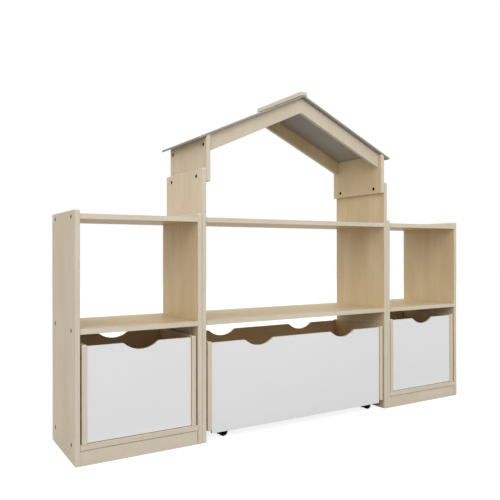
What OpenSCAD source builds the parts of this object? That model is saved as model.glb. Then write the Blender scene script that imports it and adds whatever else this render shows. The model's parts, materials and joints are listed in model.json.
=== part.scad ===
// House shaped bookcase for a child's room: two low cabinets with pull-out bins, a taller
// centre unit that carries a pitched roof, and a toy chest on casters under its shelf.
// Millimetres. X runs to the right, Y to the back, Z up. The origin is on the floor, under
// the middle of the roof.

/* [Overall] */
// Width of each side cabinet
cabinet_w = 400; // [320:5:560]
// Width of the centre unit over its uprights
centre_w = 800; // [700:10:1100]
// Depth of every upright board and shelf, front to back
depth = 290; // [270:5:400]
// Thickness of the case boards
board_t = 15; // [14:0.5:18]

/* [Shelves] */
// Height of the top shelf's upper face, in all three units
top_shelf_z = 720; // [640:2:800]
// Height of the middle shelf's upper face, in all three units
middle_shelf_z = 390; // [370:1:460]
// Height of the bottom shelf's upper face in the cabinets
bottom_shelf_z = 60; // [50:1:70]
// How far the cabinet sides stand up past the top shelf
rim_h = 12; // [0:1:40]
// How far the toe kick stands behind the shelf edge above it
kick_setback = 1.5; // [0:0.5:30]
// Radius of the upper corners of the cabinet sides and uprights
corner_r = 5; // [3:0.5:12]
// Easing radius along the board edges
edge_r = 2; // [1:0.25:3]

/* [Roof] */
// Height of the centre uprights
upright_h = 878; // [860:2:940]
// How far the cheek boards reach down inside the uprights
cheek_lap = 42; // [36:1:60]
// Height of the cheek boards, on the outer face
cheek_h = 144.5; // [120:0.5:200]
// Pitch of the roof in degrees
roof_pitch = 24.6; // [18:0.2:34]
// Height of the gable boards, measured straight down
gable_h = 53; // [50:1:70]
// How far each gable stands in from the edges of the cheeks
gable_setback = 16; // [8:1:40]
// Radius of the gable's inside corner under the ridge
gable_r = 20; // [8:1:40]
// Thickness of the grey roof sheets
sheet_t = 6.5; // [4:0.5:8]
// How far the roof sheets reach past the boards at the back
sheet_back_out = 10; // [0:1:40]
// How far the sheets stand out past the cheeks, measured level
eave_out = 29; // [10:1:60]
// Width of the ridge cap
cap_w = 29; // [20:1:50]
// Height of the ridge cap's side faces
cap_h = 17.5; // [14:0.5:30]

/* [Bins and chest] */
// Gap between a bin and the cabinet sides
bin_gap = 5; // [3:0.5:12]
// Gap between the chest and the uprights
chest_gap = 6; // [3:0.5:12]
// Free height above a bin's sides
bin_clear = 31; // [10:1:120]
// Free height above the chest's sides
chest_clear = 54.5; // [10:0.5:120]
// How far the box sides stand behind the case, front and back
box_setback = 3.5; // [1:0.5:12]
// Thickness of the box sides
box_side_t = 15; // [12:0.5:18]
// Thickness of the box fronts and backs
box_front_t = 9; // [8:0.5:15]
// Thickness of the bin floors
bin_floor_t = 9; // [8:0.5:12]
// Thickness of the chest floor
chest_floor_t = 12; // [12:0.5:18]
// How far the white fronts stand behind the edges of the box sides
front_recess = 3.5; // [1:0.5:8]
// How much lower the front is than the sides along the top
front_drop = 4; // [0:0.5:10]
// How far the chest's front and back hang below its sides, to hide the casters
skirt_h = 10; // [0:1:12]
// Height of a bin's floor above its lower edge
bin_floor_up = 6; // [4:1:20]
// Depth of the finger scoops
scoop_h = 22; // [15:0.5:35]
// Radius of the finger scoops
scoop_r = 80; // [60:1:120]
// Rounding where a scoop meets the top edge
scoop_lip_r = 10; // [4:0.5:12]

/* [Casters] */
// Diameter of the caster wheels
wheel_d = 32; // [28:1:36]
// Width of one wheel of a caster's pair
wheel_w = 13.5; // [10:0.5:14]
// Thickness of the caster's web between its wheels
web_t = 7; // [6:0.5:8]
// Level distance from the swivel axis to the wheel axle
trail = 11; // [9:0.5:13]
// Side of the square mounting plate
plate_w = 40; // [36:1:44]
// Thickness of the mounting plate
plate_t = 2; // [1.5:0.25:3]
// Distance from a swivel axis to the chest side beside it
caster_inset = 47; // [36:1:120]

/* [Fasteners] */
// Distance of the case screws from the front and back edges
screw_inset = 45; // [25:1:60]
// Diameter of the case screw and bolt heads
screw_head_d = 12.5; // [9:0.5:14]
// Length of the case screws
screw_l = 50; // [40:1:60]
// Diameter of the case screws where they pass through a board
shank_d = 7; // [6:0.25:8]
// Height of the cheek bolts above the cheek's lower edge
cheek_bolt_up = 19; // [12:1:25]

/* [Hidden] */
$fn = 64;
eps = 0.01;
play = 0.15;          // radial room between a fastener and its hole
run_fit = 0.05;       // radial room in a bearing
flush = 0.3;          // fastener heads sit this far below the face
swing_gap = 1;        // room around the casters as they swivel
seat = 2;             // a bin's front and back stop this far above its lower edge

sheet_d = depth + sheet_back_out;
front_y = -sheet_d / 2;
back_y = front_y + depth;
case_w = 2 * cabinet_w + centre_w;
bay_w = cabinet_w - 2 * board_t;
centre_bay_w = centre_w - 2 * board_t;
side_h = top_shelf_z + rim_h;
screw_y = [front_y + screw_inset, back_y - screw_inset];
left_x = -case_w / 2;
right_cabinet_x = centre_w / 2;

cheek_z = upright_h - cheek_lap;
eave_z = cheek_z + cheek_h;
cheek_in_x = centre_bay_w / 2 - board_t;
slope = tan(roof_pitch);
sheet_vt = sheet_t / cos(roof_pitch);
ridge_z = eave_z + slope * (cheek_in_x + board_t);
eave_x = cheek_in_x + board_t + eave_out;
cap_top_z = ridge_z + sheet_vt - slope * cap_w / 2 + cap_h;
gable_y = [front_y + gable_setback, back_y - gable_setback - board_t];
cheek_bolt_z = cheek_z + cheek_bolt_up;
gable_screw_z = roof_under(cheek_in_x) - gable_h * 0.58;
join_bolt_z = (bottom_shelf_z + middle_shelf_z - board_t) / 2;

bin_w = bay_w - 2 * bin_gap;
bin_h = middle_shelf_z - board_t - bin_clear - bottom_shelf_z;
bin_floor_z = bottom_shelf_z + bin_floor_up;
chest_w = centre_bay_w - 2 * chest_gap;
box_d = depth - 2 * box_setback;
box_y = front_y + box_setback;
front_face_y = box_y + front_recess;
back_face_y = box_y + box_d - front_recess;
bin_x = [left_x + board_t + bin_gap, right_cabinet_x + board_t + bin_gap];

wheel_r = wheel_d / 2;
wheel_gap = 0.5;      // between a wheel and the web
pair_w = web_t + 2 * (wheel_gap + wheel_w);
axle_r = 2;
boss_r = 6;
pin_r = 3;
guard_in = wheel_r + 1;
guard_out = guard_in + 1.6;
guard_low_z = wheel_r + 2;
guard_front_x = trail + 0.6 * wheel_r;
web_low_z = 0.4 * wheel_r;
pin_low_z = wheel_d + 1;
boss_low_z = wheel_d - 8;
boss_top_z = wheel_d + 7.6;
plate_gap = 0.4;      // between the boss and the plate
plate_z = boss_top_z + plate_gap;
chest_floor_z = plate_z + plate_t;
chest_z = wheel_d + 2;
chest_h = middle_shelf_z - board_t - chest_clear - chest_z;
swing_r = sqrt(pow(trail + wheel_r, 2) + pow(pair_w / 2, 2));
caster_x = chest_w / 2 - box_side_t - caster_inset;
caster_y = [front_face_y + box_front_t + swing_r + swing_gap,
            back_face_y - box_front_t - swing_r - swing_gap];
plate_screw_at = plate_w / 2 - 6;

roof_head_r = 3;
roof_shank_r = 1.5;
roof_screw_l = 30;
box_head_r = 3.6;
box_shank_r = 1.9;
box_screw_l = 38;
plate_head_r = 2.6;
plate_shank_r = 1.5;
plate_screw_l = 10;
dowel_r = 3;
dowel_l = 28;
dowel_in = 10;
bolt_r = 3;
sleeve_r = 4;
sleeve_start = 5;
head_t = 2.7;
socket_w = 4.6;
socket_deep = 2;
grip = 2 * board_t;   // the two boards that a joining bolt clamps

wood = [0.84, 0.75, 0.62];
white = [0.93, 0.93, 0.93];
grey = [0.47, 0.45, 0.43];
black = [0.08, 0.08, 0.08];
steel = [0.65, 0.65, 0.67];

// Height of the roof sheets' lower face at a distance from the middle
function roof_under(x) = ridge_z - slope * abs(x);

// ---- profiles and small shapes ----

// Removes one corner of a rectangle down to a quarter circle
module corner_cut(r) {
    difference() {
        translate([-1, -1]) square([r + 1, r + 1]);
        translate([r, r]) circle(r);
    }
}

// Rectangle from the origin with eased corners; the lower pair can have a radius of its own
module soft_rect(w, h, r, low_r) {
    difference() {
        square([w, h]);
        corner_cut(low_r);
        translate([w, 0]) mirror([1, 0]) corner_cut(low_r);
        translate([0, h]) mirror([0, 1]) corner_cut(r);
        translate([w, h]) mirror([1, 0]) mirror([0, 1]) corner_cut(r);
    }
}

// Extrudes a profile drawn in Y and Z along +X
module along_x(length) {
    rotate([90, 0, 90]) linear_extrude(length) children();
}

// Extrudes a profile drawn in X and Z along +Y
module along_y(length) {
    translate([0, length, 0]) rotate([90, 0, 0]) linear_extrude(length) children();
}

// Solid of revolution about Z from points of radius and height
module turned(points) {
    rotate_extrude() polygon(points);
}

// ---- boards of the case ----

// Upright board across X: eased long edges and rounded upper corners
module upright_board(h) {
    translate([0, front_y, 0])
        intersection() {
            linear_extrude(h) soft_rect(board_t, depth, edge_r, edge_r);
            along_x(board_t) soft_rect(depth, h, corner_r, edge_r);
        }
}

// Shelf of a given length whose upper face is at height z
module shelf(x, length, z) {
    translate([x, front_y, z - board_t])
        along_x(length) soft_rect(depth, board_t, edge_r, edge_r);
}

module toe_kick(x) {
    difference() {
        translate([x, front_y + kick_setback, 0])
            along_x(bay_w) soft_rect(board_t, bottom_shelf_z - board_t, edge_r, edge_r);
        kick_dowel_pairs(play);
    }
}

module cheek() {
    outer_h = eave_z - cheek_z;
    inner_h = roof_under(cheek_in_x) - cheek_z;
    translate([cheek_in_x, front_y, cheek_z])
        along_y(depth) difference() {
            polygon([[0, 0], [board_t, 0], [board_t, outer_h], [0, inner_h]]);
            corner_cut(edge_r);
            translate([board_t, 0]) mirror([1, 0]) corner_cut(edge_r);
        }
}

// Chevron cut from one board: straight upper edges under the sheets, rounded inside corner
module gable(y) {
    low_apex_z = ridge_z - gable_h;
    arc_z = low_apex_z - gable_r / cos(roof_pitch);
    arc_x = gable_r * sin(roof_pitch);
    tangent_z = arc_z + gable_r * cos(roof_pitch);
    end_top_z = roof_under(cheek_in_x);
    end_low_z = end_top_z - gable_h;
    clear_z = end_low_z - 10;
    translate([0, y, 0])
        along_y(board_t) difference() {
            polygon([[-cheek_in_x, clear_z], [-cheek_in_x, end_top_z], [0, ridge_z],
                     [cheek_in_x, end_top_z], [cheek_in_x, clear_z]]);
            polygon([[-cheek_in_x - 1, clear_z - 1], [-cheek_in_x - 1, end_low_z - slope],
                     [-arc_x, tangent_z], [arc_x, tangent_z],
                     [cheek_in_x + 1, end_low_z - slope], [cheek_in_x + 1, clear_z - 1]]);
            translate([0, arc_z]) circle(gable_r);
        }
}

// Right-hand roof sheet: square-cut eave, mitred at the ridge
module roof_sheet() {
    top_z = ridge_z + sheet_vt;
    eave_top_z = top_z - slope * eave_x;
    translate([0, front_y, 0])
        along_y(sheet_d) polygon([
            [0, ridge_z], [0, top_z], [eave_x, eave_top_z],
            [eave_x - sheet_t * sin(roof_pitch), eave_top_z - sheet_t * cos(roof_pitch)]]);
}

module ridge_cap_blank() {
    top_z = ridge_z + sheet_vt;
    side_z = top_z - slope * cap_w / 2;
    translate([0, front_y, 0])
        along_y(depth) difference() {
            polygon([[-cap_w / 2, side_z], [-cap_w / 2, cap_top_z], [cap_w / 2, cap_top_z],
                     [cap_w / 2, side_z], [0, top_z]]);
            for (s = [0, 1])
                mirror([s, 0]) translate([cap_w / 2, cap_top_z]) rotate(180) corner_cut(edge_r);
        }
}

// ---- fasteners ----

// Case screw along +X with its flat head at the face of the board; room widens its hole
module case_screw(room) {
    head_r = screw_head_d / 2;
    core_r = shank_d / 2 - 1;
    face = room > 0 ? -1 : flush;
    rotate([0, 90, 0])
        turned([[0, face], [head_r + room, face], [head_r + room, flush + head_t + room],
                [shank_d / 2 + room, flush + head_t + 1.2], [shank_d / 2 + room, board_t - 1],
                [core_r + room, board_t], [core_r + room, screw_l - 3], [0, screw_l + room]]);
}

module hex_socket() {
    rotate([0, 90, 0]) translate([0, 0, flush - eps])
        linear_extrude(socket_deep) circle(d = socket_w, $fn = 6);
}

module socket_screw() {
    difference() {
        case_screw(0);
        hex_socket();
    }
}

// Every place a case screw goes: [x of the face, y, z, direction along X]
function shelf_screws(face_x, way, heights) =
    [for (z = heights, y = screw_y) [face_x, y, z - board_t / 2, way]];
cabinet_heights = [top_shelf_z, middle_shelf_z, bottom_shelf_z];
centre_heights = [top_shelf_z, middle_shelf_z];
half_gable_y = [gable_y[0] + board_t / 2, gable_y[1] + board_t / 2];
case_screw_places = concat(
    shelf_screws(left_x, 1, cabinet_heights),
    shelf_screws(left_x + cabinet_w, -1, cabinet_heights),
    shelf_screws(right_cabinet_x, 1, cabinet_heights),
    shelf_screws(right_cabinet_x + cabinet_w, -1, cabinet_heights),
    shelf_screws(-centre_w / 2, 1, centre_heights),
    shelf_screws(centre_w / 2, -1, centre_heights),
    [for (y = half_gable_y, way = [-1, 1])
        [-way * (cheek_in_x + board_t), y, gable_screw_z, way]]
);

module at_case_screws() {
    for (p = case_screw_places)
        translate([p[0], p[1], p[2]]) mirror([p[3] < 0 ? 1 : 0, 0, 0]) children();
}

// Through bolts along +X that clamp two boards, with a sleeve nut from the far side
module join_hole() {
    rotate([0, 90, 0]) {
        translate([0, 0, -1]) cylinder(h = grip + 2, r = sleeve_r + play);
        translate([0, 0, -1]) cylinder(h = flush + head_t + play + 1, r = screw_head_d / 2 + play);
        translate([0, 0, grip - flush - head_t - play])
            cylinder(h = flush + head_t + play + 1, r = screw_head_d / 2 + play);
    }
}

module join_bolt() {
    difference() {
        rotate([0, 90, 0])
            turned([[0, flush], [screw_head_d / 2, flush], [screw_head_d / 2, flush + head_t],
                    [bolt_r, flush + head_t], [bolt_r, grip - 5], [0, grip - 5]]);
        hex_socket();
    }
}

module join_sleeve() {
    far = grip - flush;
    rotate([0, 90, 0])
        turned([[bolt_r + play, sleeve_start], [sleeve_r, sleeve_start],
                [sleeve_r, far - head_t], [screw_head_d / 2, far - head_t],
                [screw_head_d / 2, far], [0, far], [0, grip - 4.5], [bolt_r + play, grip - 4.5]]);
}

// Cabinet to upright below the middle shelf, and upright to cheek: [x, y, z, direction]
join_places = concat(
    [for (y = screw_y, way = [-1, 1])
        [-way * (centre_w / 2 + board_t), y, join_bolt_z, way]],
    [for (y = screw_y, way = [-1, 1]) [-way * centre_w / 2, y, cheek_bolt_z, way]]
);

module at_joins() {
    for (p = join_places)
        translate([p[0], p[1], p[2]]) mirror([p[3] < 0 ? 1 : 0, 0, 0]) children();
}

// Two dowels in each end of each toe kick
module kick_dowel_pairs(room) {
    ends = [left_x + board_t, left_x + cabinet_w - board_t,
            right_cabinet_x + board_t, right_cabinet_x + cabinet_w - board_t];
    kick_h = bottom_shelf_z - board_t;
    for (i = [0:3], level = [0.28, 0.72])
        translate([ends[i], front_y + kick_setback + board_t / 2, kick_h * level])
            mirror([i % 2, 0, 0]) translate([-dowel_in - room, 0, 0]) rotate([0, 90, 0])
                cylinder(h = dowel_l + 2 * room, r = dowel_r + room);
}

// Countersunk screw along -Z with its head at the origin; room widens its hole
module wood_screw(head_r, shank_r, length, room) {
    face = room > 0 ? 1 : -0.05;
    neck = head_r - shank_r;
    turned([[0, -length - room], [shank_r + room, 3 - length], [shank_r + room, -neck - room],
            [head_r + room, -0.05 - room], [head_r + room, face], [0, face]]);
}

// Roof screws: square to the sheets into the gables, and down through the ridge cap
module roof_screw_set(room) {
    run = cheek_in_x - 40;
    for (y = half_gable_y) {
        for (side = [0, 1], step = [0.12, 0.54, 0.96])
            mirror([side, 0, 0])
                translate([run * step + 20, y, roof_under(run * step + 20) + sheet_vt])
                    rotate([0, roof_pitch, 0])
                        wood_screw(roof_head_r, roof_shank_r, roof_screw_l, room);
        translate([0, y, cap_top_z])
            wood_screw(roof_head_r, roof_shank_r, roof_screw_l, room);
    }
}

// ---- bins and chest ----

// Finger scoop cut from the top edge of a board of height h, centred on x: a round notch
// whose two lips are rounded over
module scoop(x, h) {
    arc_z = h - scoop_h + scoop_r;
    lip_z = h - scoop_lip_r;
    reach = scoop_r + scoop_lip_r;
    drop = arc_z - lip_z;
    lip_x = sqrt(reach * reach - drop * drop);
    touch_x = lip_x * scoop_r / reach;
    touch_z = arc_z - drop * scoop_r / reach;
    translate([x, 0]) {
        intersection() {
            translate([0, arc_z]) circle(scoop_r);
            translate([-scoop_r, touch_z - scoop_r]) square([2 * scoop_r, scoop_r]);
        }
        difference() {
            polygon([[-lip_x, h + 1], [-lip_x, h], [-touch_x, touch_z],
                     [touch_x, touch_z], [lip_x, h], [lip_x, h + 1]]);
            for (side = [-1, 1]) translate([side * lip_x, lip_z]) circle(scoop_lip_r);
        }
    }
}

// Front or back board of a box of overall width w, standing at height z
module box_end(x, y, z, w, h, scoops) {
    inner_w = w - 2 * box_side_t;
    translate([x + box_side_t, y, z])
        along_y(box_front_t) difference() {
            square([inner_w, h]);
            for (s = scoops) scoop(inner_w * s, h);
        }
}

module box_side(x, z, h) {
    translate([x, box_y, z])
        intersection() {
            linear_extrude(h) soft_rect(box_side_t, box_d, edge_r, edge_r);
            along_x(box_side_t) soft_rect(box_d, h, corner_r, edge_r);
        }
}

module box_floor(x, z, w, t) {
    translate([x + box_side_t, front_face_y + box_front_t, z])
        cube([w - 2 * box_side_t, back_face_y - front_face_y - 2 * box_front_t, t]);
}

// Screws through both sides of a box into its ends and floor
module box_screw_set(x, z, w, h, floor_mid_z, room) {
    end_y = [front_face_y + box_front_t / 2, back_face_y - box_front_t / 2];
    for (side = [0, 1])
        translate([x + w / 2, 0, 0]) mirror([side, 0, 0]) translate([w / 2, 0, 0]) {
            for (y = end_y, level = [0.14, 0.5, 0.86])
                translate([0, y, z + h * level]) rotate([0, 90, 0])
                    wood_screw(box_head_r, box_shank_r, box_screw_l, room);
            for (part = [0.22, 0.5, 0.78])
                translate([0, box_y + box_d * part, floor_mid_z]) rotate([0, 90, 0])
                    wood_screw(box_head_r, box_shank_r, box_screw_l, room);
        }
}

module bin_end(i, y) {
    difference() {
        box_end(bin_x[i], y, bottom_shelf_z + seat, bin_w, bin_h - front_drop - seat, [0.5]);
        bin_screw_set(i, play);
    }
}

module bin_side(i, right) {
    difference() {
        box_side(bin_x[i] + right * (bin_w - box_side_t), bottom_shelf_z, bin_h);
        bin_screw_set(i, play);
    }
}

module bin_floor(i) {
    difference() {
        box_floor(bin_x[i], bin_floor_z, bin_w, bin_floor_t);
        bin_screw_set(i, play);
    }
}

module bin_screw_set(i, room) {
    box_screw_set(bin_x[i], bottom_shelf_z, bin_w, bin_h, bin_floor_z + bin_floor_t / 2, room);
}

module chest_end(y) {
    difference() {
        box_end(-chest_w / 2, y, chest_z - skirt_h, chest_w, chest_h + skirt_h - front_drop,
                [0.25, 0.75]);
        chest_screw_set(play);
    }
}

module chest_side(right) {
    difference() {
        box_side(right * (chest_w - box_side_t) - chest_w / 2, chest_z, chest_h);
        chest_screw_set(play);
    }
}

module chest_screw_set(room) {
    box_screw_set(-chest_w / 2, chest_z, chest_w, chest_h,
                  chest_floor_z + chest_floor_t / 2, room);
}

// ---- casters ----

module at_caster(i, j) {
    translate([(2 * i - 1) * caster_x, caster_y[j], 0]) children();
}

module plate_screw_set(room) {
    for (sx = [-1, 1], sy = [-1, 1])
        translate([sx * plate_screw_at, sy * plate_screw_at, plate_z])
            turned([[0, -1], [plate_head_r, -1], [plate_head_r, 0], [plate_shank_r + room, 0],
                    [plate_shank_r + room, plate_screw_l - 2], [0, plate_screw_l + room]]);
}

// Mounting plate with the swivel pin riveted into it
module caster_plate() {
    difference() {
        translate([-plate_w / 2, -plate_w / 2, plate_z])
            linear_extrude(plate_t) soft_rect(plate_w, plate_w, 5, 5);
        plate_screw_set(play);
    }
    translate([0, 0, pin_low_z]) cylinder(h = plate_z - pin_low_z + eps, r = pin_r);
}

// Swivel body: boss around the pin, web between the wheels and the guard over them
module caster_hood() {
    difference() {
        union() {
            translate([0, 0, boss_low_z]) cylinder(h = boss_top_z - boss_low_z, r = boss_r);
            translate([0, -web_t / 2, 0]) along_y(web_t) hood_profile(web_low_z, trail + guard_out);
            translate([0, -pair_w / 2, 0]) along_y(pair_w) hood_profile(guard_low_z, guard_front_x);
        }
        for (s = [0, 1])
            mirror([0, s, 0]) translate([trail, web_t / 2, wheel_r]) rotate([-90, 0, 0])
                cylinder(h = pair_w, r = guard_in);
        translate([0, 0, pin_low_z - play]) cylinder(h = boss_top_z, r = pin_r + run_fit);
        translate([trail, -web_t, wheel_r]) rotate([-90, 0, 0])
            cylinder(h = 2 * web_t, r = axle_r + run_fit);
    }
}

// Disc around the axle, kept above a height and behind a distance
module hood_profile(low_z, far_x) {
    intersection() {
        translate([trail, wheel_r]) circle(guard_out);
        translate([trail - 2 * guard_out, low_z])
            square([far_x - trail + 2 * guard_out, 3 * guard_out]);
    }
}

// Pair of wheels on one axle: rounded tread, dished outer face and hub
module wheel_half() {
    dish = 2.5;
    turned([[axle_r, 0], [wheel_r - 1, 0], [wheel_r, 1], [wheel_r, wheel_w - 2],
            [wheel_r - 0.6, wheel_w - 0.6], [wheel_r - 2, wheel_w], [wheel_r - 3.5, wheel_w],
            [wheel_r - 4.5, wheel_w - dish], [5, wheel_w - dish], [4.4, wheel_w - 0.8],
            [axle_r, wheel_w - 0.8]]);
}

module caster_wheels() {
    for (s = [0, 1])
        translate([trail, 0, wheel_r]) mirror([0, s, 0])
            translate([0, web_t / 2 + wheel_gap, 0]) rotate([-90, 0, 0]) wheel_half();
}

module caster_axle() {
    half = pair_w / 2 - 2;
    translate([trail, -half, wheel_r]) rotate([-90, 0, 0]) cylinder(h = 2 * half, r = axle_r);
}

// ---- nodes ----

module with_case_holes() {
    difference() {
        children();
        at_case_screws() case_screw(play);
        at_joins() join_hole();
        kick_dowel_pairs(play);
    }
}

module left_outer_side() color(wood) with_case_holes() translate([left_x, 0, 0])
    upright_board(side_h);
module left_inner_side() color(wood) with_case_holes()
    translate([left_x + cabinet_w - board_t, 0, 0]) upright_board(side_h);
module right_inner_side() color(wood) with_case_holes() translate([right_cabinet_x, 0, 0])
    upright_board(side_h);
module right_outer_side() color(wood) with_case_holes()
    translate([right_cabinet_x + cabinet_w - board_t, 0, 0]) upright_board(side_h);

module cabinet_shelf(x, z) color(wood) with_case_holes() shelf(x + board_t, bay_w, z);
module left_top_shelf() cabinet_shelf(left_x, top_shelf_z);
module left_middle_shelf() cabinet_shelf(left_x, middle_shelf_z);
module left_bottom_shelf() cabinet_shelf(left_x, bottom_shelf_z);
module left_toe_kick() color(wood) toe_kick(left_x + board_t);
module right_top_shelf() cabinet_shelf(right_cabinet_x, top_shelf_z);
module right_middle_shelf() cabinet_shelf(right_cabinet_x, middle_shelf_z);
module right_bottom_shelf() cabinet_shelf(right_cabinet_x, bottom_shelf_z);
module right_toe_kick() color(wood) toe_kick(right_cabinet_x + board_t);

module left_upright() color(wood) with_case_holes() translate([-centre_w / 2, 0, 0])
    upright_board(upright_h);
module right_upright() color(wood) with_case_holes()
    translate([centre_w / 2 - board_t, 0, 0]) upright_board(upright_h);
module centre_shelf(z) color(wood) with_case_holes()
    shelf(-centre_bay_w / 2, centre_bay_w, z);
module centre_top_shelf() centre_shelf(top_shelf_z);
module centre_middle_shelf() centre_shelf(middle_shelf_z);

module right_cheek() color(wood) with_case_holes() cheek();
module left_cheek() color(wood) with_case_holes() mirror([1, 0, 0]) cheek();
module drilled_gable(y) color(wood) difference() {
    gable(y);
    at_case_screws() case_screw(play);
    roof_screw_set(play);
}
module front_gable() drilled_gable(gable_y[0]);
module back_gable() drilled_gable(gable_y[1]);
module right_roof_sheet() color(grey) difference() {
    roof_sheet();
    roof_screw_set(play);
}
module left_roof_sheet() color(grey) difference() {
    mirror([1, 0, 0]) roof_sheet();
    roof_screw_set(play);
}
module ridge_cap() color(wood) difference() {
    ridge_cap_blank();
    roof_screw_set(play);
}

module case_screws() color(black) at_case_screws() socket_screw();
module join_bolts() color(black) at_joins() join_bolt();
module join_sleeves() color(black) at_joins() join_sleeve();
module kick_dowels() color(wood) kick_dowel_pairs(0);
module roof_screws() color(steel) roof_screw_set(0);

module left_bin_front() color(white) bin_end(0, front_face_y);
module left_bin_back() color(wood) bin_end(0, back_face_y - box_front_t);
module left_bin_left() color(wood) bin_side(0, 0);
module left_bin_right() color(wood) bin_side(0, 1);
module left_bin_floor() color(wood) bin_floor(0);
module left_bin_screws() color(steel) bin_screw_set(0, 0);
module right_bin_front() color(white) bin_end(1, front_face_y);
module right_bin_back() color(wood) bin_end(1, back_face_y - box_front_t);
module right_bin_left() color(wood) bin_side(1, 0);
module right_bin_right() color(wood) bin_side(1, 1);
module right_bin_floor() color(wood) bin_floor(1);
module right_bin_screws() color(steel) bin_screw_set(1, 0);

module chest_front() color(white) chest_end(front_face_y);
module chest_back() color(wood) chest_end(back_face_y - box_front_t);
module chest_left() color(wood) chest_side(0);
module chest_right() color(wood) chest_side(1);
module chest_floor() color(wood) difference() {
    box_floor(-chest_w / 2, chest_floor_z, chest_w, chest_floor_t);
    chest_screw_set(play);
    for (i = [0, 1], j = [0, 1]) at_caster(i, j) plate_screw_set(play);
}
module chest_screws() color(steel) chest_screw_set(0);
module caster_plates() color(steel) for (i = [0, 1], j = [0, 1]) at_caster(i, j) caster_plate();
module plate_screws() color(steel) for (i = [0, 1], j = [0, 1]) at_caster(i, j) plate_screw_set(0);

module hood_front_left() color(black) at_caster(0, 0) caster_hood();
module wheels_front_left() color(black) at_caster(0, 0) caster_wheels();
module axle_front_left() color(steel) at_caster(0, 0) caster_axle();
module hood_front_right() color(black) at_caster(1, 0) caster_hood();
module wheels_front_right() color(black) at_caster(1, 0) caster_wheels();
module axle_front_right() color(steel) at_caster(1, 0) caster_axle();
module hood_back_left() color(black) at_caster(0, 1) caster_hood();
module wheels_back_left() color(black) at_caster(0, 1) caster_wheels();
module axle_back_left() color(steel) at_caster(0, 1) caster_axle();
module hood_back_right() color(black) at_caster(1, 1) caster_hood();
module wheels_back_right() color(black) at_caster(1, 1) caster_wheels();
module axle_back_right() color(steel) at_caster(1, 1) caster_axle();

left_outer_side();
left_inner_side();
left_top_shelf();
left_middle_shelf();
left_bottom_shelf();
left_toe_kick();
right_inner_side();
right_outer_side();
right_top_shelf();
right_middle_shelf();
right_bottom_shelf();
right_toe_kick();
left_upright();
right_upright();
centre_top_shelf();
centre_middle_shelf();
left_cheek();
right_cheek();
front_gable();
back_gable();
left_roof_sheet();
right_roof_sheet();
ridge_cap();
case_screws();
join_bolts();
join_sleeves();
kick_dowels();
roof_screws();
left_bin_front();
left_bin_back();
left_bin_left();
left_bin_right();
left_bin_floor();
left_bin_screws();
right_bin_front();
right_bin_back();
right_bin_left();
right_bin_right();
right_bin_floor();
right_bin_screws();
chest_front();
chest_back();
chest_left();
chest_right();
chest_floor();
chest_screws();
caster_plates();
plate_screws();
hood_front_left();
wheels_front_left();
axle_front_left();
hood_front_right();
wheels_front_right();
axle_front_right();
hood_back_left();
wheels_back_left();
axle_back_left();
hood_back_right();
wheels_back_right();
axle_back_right();
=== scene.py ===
# %% [markdown]
# # A house shaped bookcase
# Two low cabinets stand beside a taller centre unit. Its uprights carry a pitched roof, and three
# open boxes stand below: a bin in each cabinet and a toy chest on casters in the middle.
# The construction comes as a fixed frame, in metres, with X to the right, Y to the back and Z up.
# Each board, screw and wheel is made here with the finish of the real one, and takes its place
# and its size from that frame. Sizes are in millimetres unless a comment says otherwise.

import json
import math

import bmesh
import bpy
import numpy as np
from mathutils import Matrix, Vector

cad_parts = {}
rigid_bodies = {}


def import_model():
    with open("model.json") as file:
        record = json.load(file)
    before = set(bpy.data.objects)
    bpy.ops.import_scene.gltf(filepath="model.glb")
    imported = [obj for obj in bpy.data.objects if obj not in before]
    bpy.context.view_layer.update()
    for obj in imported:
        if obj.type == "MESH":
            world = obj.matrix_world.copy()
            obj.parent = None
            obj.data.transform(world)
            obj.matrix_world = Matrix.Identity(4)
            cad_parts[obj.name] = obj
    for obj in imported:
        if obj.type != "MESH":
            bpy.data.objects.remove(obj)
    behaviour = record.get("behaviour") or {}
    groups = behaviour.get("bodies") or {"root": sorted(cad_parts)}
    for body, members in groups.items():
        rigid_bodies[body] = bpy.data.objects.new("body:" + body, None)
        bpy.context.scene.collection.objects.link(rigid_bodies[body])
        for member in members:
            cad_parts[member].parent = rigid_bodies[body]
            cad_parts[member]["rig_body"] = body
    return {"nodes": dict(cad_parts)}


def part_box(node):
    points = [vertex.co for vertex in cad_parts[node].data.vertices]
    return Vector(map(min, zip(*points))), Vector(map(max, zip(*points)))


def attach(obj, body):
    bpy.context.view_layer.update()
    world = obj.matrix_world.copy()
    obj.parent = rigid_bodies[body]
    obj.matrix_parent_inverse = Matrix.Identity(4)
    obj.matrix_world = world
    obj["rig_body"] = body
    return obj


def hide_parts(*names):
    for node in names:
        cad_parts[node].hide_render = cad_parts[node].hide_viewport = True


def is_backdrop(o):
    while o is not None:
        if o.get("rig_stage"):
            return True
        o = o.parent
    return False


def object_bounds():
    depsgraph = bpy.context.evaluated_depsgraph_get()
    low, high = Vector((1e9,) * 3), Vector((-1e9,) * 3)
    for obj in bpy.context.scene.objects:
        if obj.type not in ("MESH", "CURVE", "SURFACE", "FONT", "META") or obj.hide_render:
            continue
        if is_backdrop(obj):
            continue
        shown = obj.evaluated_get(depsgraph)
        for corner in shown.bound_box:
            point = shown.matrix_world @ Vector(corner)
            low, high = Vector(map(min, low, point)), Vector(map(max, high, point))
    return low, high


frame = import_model()
cad_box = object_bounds()
scene = bpy.context.scene
MM = 0.001
print("nodes:", len(frame["nodes"]))

# %% [markdown]
# ## Objects and nodes
# The background, the finishes and many shapes are made with nodes, so one helper adds a node to
# any tree. An input is called by its name, or i0, i1 by its order. Its value is a number, a colour,
# another node's output, or another node, which stands for its first output.

# %% Helpers for objects and nodes


def new_object(name, data):
    """A named object around new data, in the scene."""
    thing = bpy.data.objects.new(name, data)
    scene.collection.objects.link(thing)
    return thing


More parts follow.
